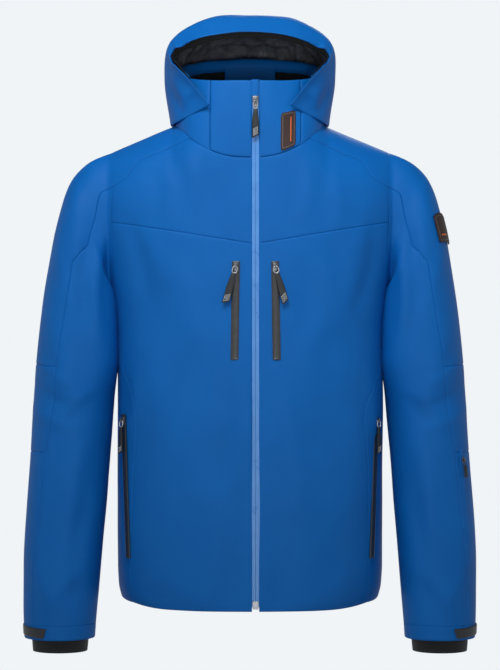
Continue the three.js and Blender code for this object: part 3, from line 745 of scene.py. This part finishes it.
def makeSleeves():
    for side, suffix in sides:
        place = (lambda surface: surface) if side > 0 else mirrored
        relief = lambda p: clothRelief(p, True)

        def strip(turn0, turn1, ring0, ring1):
            # u runs round the sleeve against the turn, v upwards
            def surface(u, v):
                ring = mix(ring1, ring0, v)
                return sleevePoint(mix(turn1(ring), turn0(ring), u), ring)

            return surface

        backTurn = lambda ring: sleeve["back"] + 0 * ring
        under = lambda ring: sleeve["under"] + 0 * ring
        upperParts = (
            ("sleeveTop_", backTurn, seamTurn, 175, "upper_sleeve_outer_", "lrb"),
            ("sleeveUnder_", seamTurn, under, 200, "upper_sleeve_under_", "lrt"),
        )
        for name, turn0, turn1, width, node, edges in upperParts:
            surface = place(strip(turn0, turn1, 0, sleeve["elbow"]))
            piece = laySheet(name + suffix, surface, (width, 320), shell, [node + suffix],
                             step=5, roll=edges, relief=relief, flat="t")
            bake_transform(piece)
        hemStart = lastRing - sleeve["hemBand"]
        lowerParts = (
            ("sleeveElbow_", backTurn, seamTurn, sleeve["elbow"], sleeve["forearm"], 175, 125, "lrbt",
             ["lower_sleeve_" + suffix]),
            ("sleeveForearm_", backTurn, seamTurn, sleeve["forearm"], hemStart, 150, 265, "lrt", []),
            ("sleeveInside_", seamTurn, under, sleeve["elbow"], hemStart, 200, 385, "lr", []),
        )
        for name, turn0, turn1, ring0, ring1, width, height, edges, nodes in lowerParts:
            surface = place(strip(turn0, turn1, ring0, ring1))
            piece = laySheet(name + suffix, surface, (width, height), shell, nodes, step=5,
                             roll=edges, relief=relief)
            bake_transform(piece)

        def hem(u, v):
            return sleevePoint(sleeve["under"] - u, mix(lastRing, hemStart, v))

        piece = laySheet("sleeveHem_" + suffix, place(hem), (330, 24), shell, step=4,
                         roll="bt", closed=True, thick=3, relief=relief)
        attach(piece, "lower_sleeve_" + suffix)

        def knitCuff(u, v):
            turn = 2 * np.pi * (1 - u)
            rib = 1 + ribKnit["ribDepth"] * np.cos(turn * ribKnit["ribs"])
            bulge = ribKnit["bulge"] * np.sin(np.pi * np.clip(v, 0, 1))
            x = ribKnit["middle"][0] + (ribKnit["half"][0] + bulge) * rib * np.cos(turn)
            y = ribKnit["middle"][1] - (ribKnit["half"][1] + bulge) * rib * np.sin(turn) + 8 * v
            return np.stack([x, y, mix(ribKnit["bottom"], ribKnit["top"], v)], 1)

        piece = laySheet("knitCuff_" + suffix, place(knitCuff), (250, 56), knit,
                         ["inner_cuff_" + suffix], step=1.6, closed=True, thick=2)
        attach(piece, "lower_sleeve_" + suffix)

        def tab(u, v):
            ring = mix(lastRing - 0.06, lastRing - 0.36, v) - tabCut["slope"] * u
            return sleevePoint(mix(mix(0.185, 0.2, v), -0.12, u), ring)

        piece = laySheet("cuffTab_" + suffix, place(tab), tabCut["size"], softRubber,
                         ["cuff_tab_" + suffix], step=3, thick=tabCut["wall"], lift=tabCut["lift"],
                         roll="lrbt", rollDepth=0.5)
        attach(piece, "cuff_tab_" + suffix)
    print("sleeves made")


# The hood: rows of points for one half, from the crown to the lower edge. Each runs from the front edge to the
# back seam.
hoodRows = [
    [[0, -92, 147], [0, -44, 178], [0, 40, 181], [0, 105, 160], [0, 143, 122]],
    [[66, -84, 141], [66, -38, 173], [66, 40, 175], [55, 104, 154], [0, 155, 98]],
    [[118, -62, 119], [119, -26, 142], [114, 40, 140], [86, 104, 122], [0, 157, 72]],
    [[98, -87, 87], [126, -26, 89], [122, 40, 82], [92, 98, 72], [0, 147, 45]],
    [[58, -102, 40], [108, -57, 19], [118, 12, 18], [95, 70, 20], [0, 112, 18]],
]


def hoodPoint(down, along):
    rows = np.stack([alongPoints(row, along) for row in hoodRows], 1)
    rows = np.concatenate((rows[:, 1:2] * np.array([-1, 1, 1]), rows, 2 * rows[:, -1:] - rows[:, -2:-1]), 1)
    place = np.clip(down, 0, 1) * (len(hoodRows) - 1)
    i = np.clip(place.astype(int), 0, len(hoodRows) - 2)
    n = np.arange(len(i))
    return catmull(rows[n, i], rows[n, i + 1], rows[n, i + 2], rows[n, i + 3], (place - i)[:, None])


hoodFolds = [
    ((108, 104), (100, 138), 5, -2.0),
    ((114, 100), (109, 132), 4, 1.8),
    ((112, 96), (92, 52), 9, 2.6),
    ((118, 70), (96, 30), 7, -2.2),
    ((84, 66), (100, 30), 6, 2.0),
]


def hoodRelief(points):
    x, y, z = points.T
    height = foldHeight(np.abs(x), z, hoodFolds) * smooth(-y, -20, 40)
    return height + 1.6 * ripple(points, 60, 4) + 0.7 * ripple(points, 26, 8)


def foldWithHood(piece):
    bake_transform(piece)


def acrossHood(reach, start, end, shift=(0, 0, 0), squeeze=1.0):
    # a surface over both halves of the hood; reach is how far down each side it comes
    def surface(u, v):
        across = 2 * u - 1
        point = hoodPoint(np.abs(across) * reach, mix(start, end, v)) + np.array(shift)
        point[:, 0] *= squeeze * np.where(across < 0, -1, 1)
        return point

    return surface


def makeHood():
    piece = laySheet("hoodCrown", acrossHood(0.34, 0.02, 0.999), (210, 290), shell,
                     ["hood_left"], step=4, roll="lr", relief=hoodRelief, flat="lr")
    foldWithHood(piece)
    piece = laySheet("hoodBrim", acrossHood(0.5, 0.0, 0.2), (290, 62), shell, ["hood_brim"],
                     step=3.5, roll="bt", relief=hoodRelief, thick=2.4, lift=1.6,
                     shape=lambda u, v: -0.9 * smooth(np.abs(2 * u - 1), 0.4, 1))
    foldWithHood(piece)
    for side, suffix in sides:

        def flank(u, v):
            return hoodPoint(mix(1.0, 0.34, v), mix(0.0, 0.999, u))

        chosen = flank if side > 0 else mirrored(flank)
        nodes = ["hood_right"] if side < 0 else []
        piece = laySheet("hoodSide_" + suffix, chosen, (300, 150), shell, nodes, step=4,
                         roll="lrbt", relief=hoodRelief, thick=2.4, flat="t")
        foldWithHood(piece)

    def puff(u, v):
        # the padding is caught down in lines across the head and puckers up between them
        line = np.abs(np.sin(np.pi * v * 7)) ** 0.6
        pucker = np.sin(2 * np.pi * (u * 34 + 0.9 * np.sin(2 * np.pi * v * 3.3) + 0.6 * np.sin(2 * np.pi * u * 5)))
        return (4 * (line - 1) + 1.5 * pucker * (1.2 - line)) * smooth(v, 0, 0.07)

    # the quilted lining inside the hood, with painted highlights in its grey grain
    piece = laySheet("hoodLining", acrossHood(0.9, 0.12, 0.97), (420, 260), glossyLiningPaintedHighlights,
                     ["hood_lining"], step=3.5, thick=1, lift=-7.5, shape=puff,
                     relief=lambda p: 3.2 * ripple(p, 19, 1) + 1.6 * ripple(p, 9, 3))
    foldWithHood(piece)

    piece = laySheet("hoodFacing", acrossHood(0.97, 0.01, 0.15), (430, 42), tricot, step=4,
                     thick=0.8, lift=-4.2)
    foldWithHood(piece)

    def edging(u, v):
        outer = acrossHood(0.52, 0.0, 0.0, (0, 2, 1.5), 0.985)(u, v)
        inner = acrossHood(0.52, 0.0, 0.0, (0, 9, -7), 0.965)(u, v)
        return mix(inner, outer, v[:, None])

    piece = laySheet("hoodEdging", edging, (300, 11), tricot, step=3, thick=1.6, roll="bt",
                     rollDepth=0.8)
    foldWithHood(piece)
    print("hood made")


def newPiece(name, bm, material, nodes=()):
    for face in bm.faces:
        face.smooth = True
    mesh = bpy.data.meshes.new(name)
    bm.to_mesh(mesh)
    bm.free()
    mesh.materials.append(material)
    piece = bpy.data.objects.new(name, mesh)
    bpy.context.scene.collection.objects.link(piece)
    if nodes:
        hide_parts(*nodes)
    return piece


def addBlock(bm, low, high, frameMatrix, bevel=0.4, taper=1.0):
    size = [b - a for a, b in zip(low, high)]
    middle = [(a + b) / 2 for a, b in zip(low, high)]
    made = bmesh.ops.create_cube(bm, size=1)
    verts = made["verts"]
    for vertex in verts:
        narrow = taper if vertex.co.z < 0 else 1
        x, y, z = vertex.co
        vertex.co = Vector((x * size[0] * narrow + middle[0], y * size[1] + middle[1], z * size[2] + middle[2]))
    edges = list({edge for vertex in verts for edge in vertex.link_edges})
    rounded = bmesh.ops.bevel(bm, geom=edges, offset=bevel, affect="EDGES", segments=2, profile=0.5,
                              material=-1)
    found = {vertex for face in rounded["faces"] for vertex in face.verts} | {v for v in verts if v.is_valid}
    bmesh.ops.transform(bm, matrix=frameMatrix, verts=list(found))


def addTube(bm, points, radius, frameMatrix, sides=8):
    # a wire through the given points, closed on itself: a circle at each of them and a skin from circle to circle
    made, wire = [], []
    for i, point in enumerate(points):
        along = (Vector(points[(i + 1) % len(points)]) - Vector(points[i - 1])).normalized()
        side = along.cross(Vector((0, 1, 0))).normalized()
        turned = Matrix((side, Vector((0, 1, 0)), along)).transposed().to_4x4()
        place = Matrix.Translation(point) @ turned
        ring = bmesh.ops.create_circle(bm, segments=sides, radius=radius, matrix=place)["verts"]
        made += ring
        wire += list({edge for vertex in ring for edge in vertex.link_edges})
    bmesh.ops.bridge_loops(bm, edges=wire, use_cyclic=True)
    bmesh.ops.transform(bm, matrix=frameMatrix, verts=made)
    bmesh.ops.recalc_face_normals(bm, faces=bm.faces)


def frameOf(origin, across, up):
    across, up = Vector(across).normalized(), Vector(up).normalized()
    inward = up.cross(across).normalized()
    across = inward.cross(up)
    matrix = Matrix.Identity(4)
    for column, axis in enumerate((across, inward, up)):
        for row in range(3):
            matrix[row][column] = axis[row] / 1000
    for row in range(3):
        matrix[row][3] = origin[row]
    return matrix


def makeSlider(zipName, slideName, swingName, node, size, look, ringSize, tabSize, dots):
    slide, swing = joints[slideName], joints[swingName]
    pullNode = node + ("_zip" if node == "main" else "") + "_pull_"
    origin, across = swing["pos_m"], [-a for a in swing["axis"]]
    up = [-a for a in slide["axis"]]
    sliderFrame = frameOf(origin, across, up)
    pullFrame = frameOf(origin, across, Vector(across).cross(Vector(up).cross(Vector(across))))
    bm = bmesh.new()
    addBlock(bm, (-size * 0.5, 2.1, -size * 0.95), (size * 0.5, 3.9, size * 0.8), sliderFrame, 0.7, 0.82)
    addBlock(bm, (-0.9, -2.0, -size * 0.42), (0.9, -0.95, size * 0.42), sliderFrame, 0.4)
    addBlock(bm, (-0.9, -2.0, size * 0.3), (0.9, 2.4, size * 0.48), sliderFrame, 0.35)
    addBlock(bm, (-0.9, -2.0, -size * 0.48), (0.9, 2.4, -size * 0.3), sliderFrame, 0.35)
    piece = newPiece(zipName + "Slider", bm, look, [node + "_zip_slider"])
    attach(piece, slide["child"])
    bm = bmesh.new()
    wide, long = ringSize
    outline = []
    for k in range(28):
        a = 2 * math.pi * k / 28
        x = power(math.cos(a), 0.7) * (wide / 2 - 0.7)
        outline.append((x, 0, -long / 2 + power(math.sin(a), 0.7) * (long / 2)))
    addTube(bm, [tuple(float(c) for c in p) for p in outline], 0.75, pullFrame)
    piece = newPiece(zipName + "Ring", bm, zinc, [pullNode + "ring"])
    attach(piece, swing["child"])
    bm = bmesh.new()
    tabWide, tabLong, tabThick = tabSize
    start = -long - 0.3
    made = bmesh.ops.create_grid(bm, x_segments=1, y_segments=8, size=0.5)
    for vertex in made["verts"]:
        down = 0.5 - vertex.co.y
        width = tabWide * (0.62 + 0.38 * min(1, down * 2.4))
        drop = tabWide * 0.55 * max(0, (down - 0.8) / 0.2) * (0.5 + vertex.co.x)
        vertex.co = Vector((vertex.co.x * width, 0, start - down * tabLong + drop * 0.9))
    extruded = bmesh.ops.extrude_face_region(bm, geom=bm.faces[:])
    moved = [g for g in extruded["geom"] if isinstance(g, bmesh.types.BMVert)]
    bmesh.ops.translate(bm, vec=(0, tabThick, 0), verts=moved)
    bmesh.ops.translate(bm, vec=(0, -tabThick / 2, 0), verts=bm.verts)
    bmesh.ops.recalc_face_normals(bm, faces=bm.faces)
    sharp = [edge for edge in bm.edges if edge.is_manifold and edge.calc_face_angle(0) > 0.6]
    bmesh.ops.bevel(bm, geom=sharp, offset=0.7, affect="EDGES", segments=2, profile=0.5, material=-1)
    bmesh.ops.transform(bm, matrix=pullFrame, verts=bm.verts)
    piece = newPiece(zipName + "Tab", bm, softRubber, [pullNode + "tab"])
    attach(piece, swing["child"])
    bm = bmesh.new()
    for row in range(dots[0]):
        for column in range(dots[1]):
            x = (column - (dots[1] - 1) / 2) * dots[2]
            z = start - tabLong * 0.94 + row * dots[2] + (x + tabWide / 2) * 0.5
            made = bmesh.ops.create_icosphere(bm, subdivisions=1, radius=dots[2] * 0.34)
            place = pullFrame @ Matrix.Translation((x, -tabThick / 2, z)) @ Matrix.Diagonal((1, 0.35, 1, 1))
            bmesh.ops.transform(bm, matrix=place, verts=made["verts"])
    piece = newPiece(zipName + "Dots", bm, whitePrint)
    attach(piece, swing["child"])


def pocketGroove(u, v):
    # where the two halves of a pocket's tape meet
    return -0.9 * np.exp(-(((u - 0.5) / 0.07) ** 2))


def makeZips():
    at = lambda z: -frontDepth(z)
    for side, suffix in sides:

        def tape(u, v):
            reach = u if side > 0 else 1 - u
            z = mix(cut["hem"] + 4, cut["collarFront"] - 3, v)
            x = cut["zip"] + side * mix(0.3, zipEdge + 1.5, reach)
            return np.stack([x, at(z) + 0.4 + 1.1 * reach, z], 1)

        piece = laySheet("zipTape_" + suffix, tape, (6.4, 765), zipFilm,
                         ["main_zip_tape_" + suffix], step=2.1, thick=1.0, roll="l" if side > 0 else "r",
                         rollDepth=0.9)
        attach(piece, "front_" + suffix)

    def flap(u, v):
        z = mix(cut["hem"] + 12, cut["collarFront"] - 14, v)
        return np.stack([cut["zip"] + mix(-26, 1, u), at(z) + 5.2 + 0 * u, z], 1)

    piece = laySheet("stormFlap", flap, (27, 735), shell, ["storm_flap"], step=6, thick=1.2,
                     relief=lambda p: 0.4 * ripple(p, 30))
    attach(piece, "front_right")

    def garage(u, v):
        x = cut["zip"] + mix(-zipEdge - 0.6, zipEdge - 0.4, u)
        z = mix(53, 78, v)
        return np.stack([x, at(z) - 0.6, z], 1)

    piece = laySheet("zipGarage", garage, (11, 25), shell, ["zip_garage"], step=2, thick=0.8,
                     roll="rt", rollDepth=1.2, shape=lambda u, v: 0.8 * smooth(u, 0.1, 0.5))
    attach(piece, "front_right")
    makeSlider("mainZip", "main_zip_slide", "main_pull_swing", "main", 9.6, darkZinc, (7, 11.6), (9.8, 43, 3),
               (6, 4, 1.9))
    bm = bmesh.new()
    boxFrame = frameOf((cut["zip"] / 1000, at(-684) / 1000, -0.684), (1, 0, 0), (0, -0.072, 1))
    addBlock(bm, (-4.4, -1.8, -5), (4.4, 1.4, 7), boxFrame, 0.8)
    piece = newPiece("zipBox", bm, zinc)
    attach(piece, "front_left")
    for side, suffix in sides:

        def chestTape(u, v):
            z = mix(-331, -188, v)
            x = cut["zip"] + side * (28.5 - 0.015 * (z + 196)) + mix(-5.7, 5.7, u)
            return np.stack([x, bodyY(x, z, False) - 1.2 + 0.4 * np.abs(2 * u - 1), z], 1)

        piece = laySheet("chestTape_" + suffix, chestTape, (8, 143), zipFilmDark,
                         ["chest_" + suffix + "_zip_tape"], step=2, thick=1.6, roll="lrbt", rollDepth=0.8,
                         lift=1.6, shape=pocketGroove)
        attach(piece, "front_" + suffix)
        zipOf = "chest_" + suffix
        makeSlider(zipOf + "_", zipOf + "_zip_slide", zipOf + "_pull_swing", zipOf, 7, darkZinc, (8.6, 9.6),
                   (10, 47, 2.4), (6, 5, 1.7))

        def handTape(u, v):
            z = mix(-622, -412, v)
            x = side * mix(177.5, 185.3, (z + 621) / 200) + mix(-3.4, 3.4, u)
            return bodyPoint(x, z, False)

        piece = laySheet("handTape_" + suffix, handTape, (8, 210), zipFilmDark,
                         ["hand_" + suffix + "_zip_tape"], step=2, thick=1.6, roll="lrbt", rollDepth=0.8,
                         lift=2.6, shape=pocketGroove)
        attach(piece, "torso")
        zipOf = "hand_" + suffix
        makeSlider(zipOf + "_", zipOf + "_zip_slide", zipOf + "_pull_swing", zipOf, 7, darkZinc, (8.2, 9.6),
                   (8.4, 40, 2.4), (5, 4, 1.6))
    # concealed sleeve zip: a welt along its slit, a small slider and its pull
    slide, swing = joints["sleeve_zip_slide"], joints["sleeve_pull_swing"]

    def welt(u, v):
        return sleevePoint(mix(0.132, 0.112, u) - 0.012 * (1 - v), mix(9.75, 7.9, v))

    piece = laySheet("sleeveWelt", welt, (9, 138), shell, step=1.5, thick=1.2, lift=1.9,
                     roll="lrbt", rollDepth=1.2)
    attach(piece, "lower_sleeve_left")
    across, up = [-a for a in swing["axis"]], [-a for a in slide["axis"]]
    sliderFrame = frameOf(swing["pos_m"], across, up)
    bm = bmesh.new()
    addBlock(bm, (-2.6, 2.1, -5), (2.6, 3.7, 4.3), sliderFrame, 0.6, 0.8)
    addBlock(bm, (-1.2, -1.6, -2.4), (1.2, 2.2, 2.4), sliderFrame, 0.5)
    piece = newPiece("sleeveSlider", bm, darkZinc, ["sleeve_zip_slider"])
    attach(piece, "sleeve_slider")
    bm = bmesh.new()
    addBlock(bm, (-2.9, -1, -26), (2.9, 1, -8), sliderFrame, 0.7)
    outline = [
        (-2.1, 0, -9), (-2.1, 0, -5), (-2.1, 0, -1), (-1.6, 0, 0), (0, 0, 0.2),
        (1.6, 0, 0), (2.1, 0, -1), (2.1, 0, -5), (2.1, 0, -9), (0, 0, -9),
    ]
    addTube(bm, outline, 0.6, sliderFrame)
    piece = newPiece("sleevePull", bm, softRubber, ["sleeve_zip_pull_tab"])
    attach(piece, "sleeve_pull")
    print("zips made")


stitchWidth = 1.1


def makeBadges():
    def collar(u, v):
        return collarPoint(mix(collarAngle(44.5), collarAngle(66), u), mix(0.025, 0.545, v))

    def arm(u, v):
        return sleevePoint(mix(0.135, 0.02, u), mix(3.2, 2.45, v) + 0.33 * u)

    def rounded(surface):
        def cutCorners(u, v):
            a, b = 2 * u - 1, 2 * v - 1
            across = 0.5 + a / 2 * (1 - 0.12 * np.abs(b) ** 12)
            return surface(across, 0.5 + b / 2 * (1 - 0.06 * np.abs(a) ** 12))

        return cutCorners

    flatRelief = lambda p: 0 * p[:, 0]
    sleeveRelief = lambda p: clothRelief(p, True)
    badges = (
        ("collarBadge", collar, (23, 55), "collar_badge", 3.4, 0.1, flatRelief),
        ("armBadge", arm, (48, 46), "arm_badge", 3.0, 0.07, sleeveRelief),
    )
    for name, surface, size, node, place, edge, relief in badges:

        def inset(low, high, left, right):
            return lambda u, v: rounded(surface)(mix(left, right, u), mix(low, high, v))

        pieces = [laySheet(name, rounded(surface), size, leather, [node], step=1.6, thick=1.4,
                           lift=place, roll="lrbt", rollDepth=0.7, relief=relief)]
        margin = edge * size[0] / size[1]
        wide, high = stitchWidth / size[0], stitchWidth / size[1]
        spans = (
            (edge, edge + wide, margin, 1 - margin),
            (1 - edge - wide, 1 - edge, margin, 1 - margin),
            (edge, 1 - edge, margin, margin + high),
            (edge, 1 - edge, 1 - margin - high, 1 - margin),
        )
        for k, (left, right, low, high) in enumerate(spans):
            width, height = (right - left) * size[0], (high - low) * size[1]
            pieces.append(laySheet(f"{name}Stitch{k}", inset(low, high, left, right), (width, height), thread,
                                   step=1.1, thick=0.5, lift=place + 0.4,
                                   relief=relief))
        line = inset(0.16, 0.84, 0.62, 0.68) if name == "collarBadge" else inset(0.24, 0.29, 0.2, 0.6)
        lineSize = (1.4, 36) if name == "collarBadge" else (19, 2)
        pieces.append(laySheet(name + "Line", line, lineSize, orangeThread, step=1, thick=0.5,
                               lift=place + 0.45, relief=relief))
        for piece in pieces:
            if name == "collarBadge":
                turnWithFront(piece)
            else:
                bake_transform(piece)
    print("badges made")


def makeInside():
    def skirt(u, v):
        z = mix(-664, -520, v)
        point = ringPoint(360 * u, z)
        inset = 14.2 + 20 * (1 - v)
        gather = 1 + 0.012 * np.sin(2 * np.pi * u * 46) * (1 - v)
        across, deep = (1 - inset / cut["width"]) * gather, (1 - inset / 130) * gather
        return point * np.stack([across, deep, np.ones_like(u)], 1)

    piece = laySheet("snowSkirt", skirt, (960, 144), liningCloth, ["snow_skirt"], step=5,
                     thick=1, closed=True, relief=lambda p: 0.8 * ripple(p, 30, 6))
    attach(piece, "torso")

    def ribbon(u, v):
        turn = 2 * np.pi * u
        x = 30.2 * np.sign(np.cos(turn)) * np.abs(np.cos(turn)) ** 0.35
        z = 15.5 + 6.7 * np.sign(np.sin(turn)) * np.abs(np.sin(turn)) ** 0.5
        return np.stack([x, mix(52.2, 58.8, v), z], 1)

    piece = laySheet("hangerLoop", ribbon, (150, 7), knit, ["hanger_loop"], step=1.7,
                     thick=1.2, closed=True)
    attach(piece, "torso")
    print("inside made")


makeFronts()
shoulderBack = makeShoulders()
makeSidesAndBack(shoulderBack)
makeCollar()
makeSleeves()
makeHood()
makeZips()
makeBadges()
makeInside()

studio = {"paper": "#f0f4f7", "floor": -1.25, "cameraBack": 3.5, "cameraHeight": -0.295, "lens": 125.4}


def glowing(material, strength):
    # paper lit by lamps of its own, out of the picture
    shader = material.node_tree.nodes["Principled BSDF"]
    shader.inputs["Emission Color"].default_value = linear(studio["paper"])
    shader.inputs["Emission Strength"].default_value = strength
    return material


def stagePiece(name, bm, material):
    mesh = bpy.data.meshes.new(name)
    bm.to_mesh(mesh)
    bm.free()
    mesh.materials.append(material)
    piece = bpy.data.objects.new(name, mesh)
    bpy.context.scene.collection.objects.link(piece)
    piece.visible_diffuse = False
    return piece


def makeStudio():
    bm = bmesh.new()
    bmesh.ops.create_circle(bm, cap_ends=True, segments=96, radius=3)
    bmesh.ops.translate(bm, vec=(0, 0, studio["floor"]), verts=bm.verts)
    stagePiece("floor", bm, glowing(plainMaterial("white paper", "#e6e9ec", "#eceff2", 30, 0.8, 0.1), 0.62))
    bm = bmesh.new()
    bmesh.ops.create_uvsphere(bm, u_segments=64, v_segments=32, radius=30)
    bmesh.ops.reverse_faces(bm, faces=bm.faces)
    paper = newMaterial("white backdrop paper")
    glow = addNode(paper, "ShaderNodeEmission", {"Color": linear(studio["paper"]), "Strength": 1.0})
    finishMaterial(paper, glow)
    surround = stagePiece("surround", bm, paper)
    surround.visible_glossy = surround.visible_shadow = surround.visible_transmission = False
    lights = (
        ("key", (-0.25, -1.3, 1.5), 1.0, 4.9, 60, 0.12),
        ("front", (0.15, -3.2, -0.55), 0.5, 0.7, 34, 0.12),
        ("sideLeft", (-2.0, -1.3, 0.8), 0.7, 0.5, 60, 0.05),
        ("sideRight", (2.0, -1.3, 0.8), 0.7, 0.4, 60, 0.05),
        ("back", (0.5, 2.6, 1.1), 1.0, 2.2, 60, -0.2),
    )
    for name, place, size, energy, spread, aim in lights:
        light = bpy.data.lights.new(name, "AREA")
        light.energy, light.size, light.spread = energy, size, math.radians(spread)
        lamp = bpy.data.objects.new(name, light)
        bpy.context.scene.collection.objects.link(lamp)
        lamp.location = place
        lamp.rotation_euler = (Vector((0, 0, aim)) - Vector(place)).to_track_quat("-Z", "Y").to_euler()
    # the sky that lights the jacket, brightest at eye level and dimmer above and below; the surround hides it
    world = bpy.data.worlds.new("studio")
    bpy.context.scene.world = world
    world.use_nodes = True
    surround = world.node_tree.nodes["Background"]
    surround.inputs["Color"].default_value = linear(studio["paper"])
    way = addNode(world, "ShaderNodeTexCoord")
    height = addNode(world, "ShaderNodeSeparateXYZ", {"Vector": (way, "Generated")})
    steep = addNode(world, "ShaderNodeMath", {0: (height, "Z")}, operation="ABSOLUTE")
    dim = addNode(world, "ShaderNodeMapRange",
                  {"Value": (steep, 0), "From Min": 0.165, "From Max": 0.34, "To Min": 0.75, "To Max": 0.1})
    world.node_tree.links.new(dim.outputs[0], surround.inputs["Strength"])
    camera = bpy.data.cameras.new("camera")
    camera.lens, camera.sensor_width = studio["lens"], 36
    eye = bpy.data.objects.new("camera", camera)
    bpy.context.scene.collection.objects.link(eye)
    eye.location = (0, -studio["cameraBack"], studio["cameraHeight"])
    eye.rotation_euler = (math.pi / 2, 0, 0)
    camera.clip_end = 50
    bpy.context.scene.camera = eye
    bpy.context.scene.view_settings.view_transform = "Standard"
    print("studio made")


makeStudio()
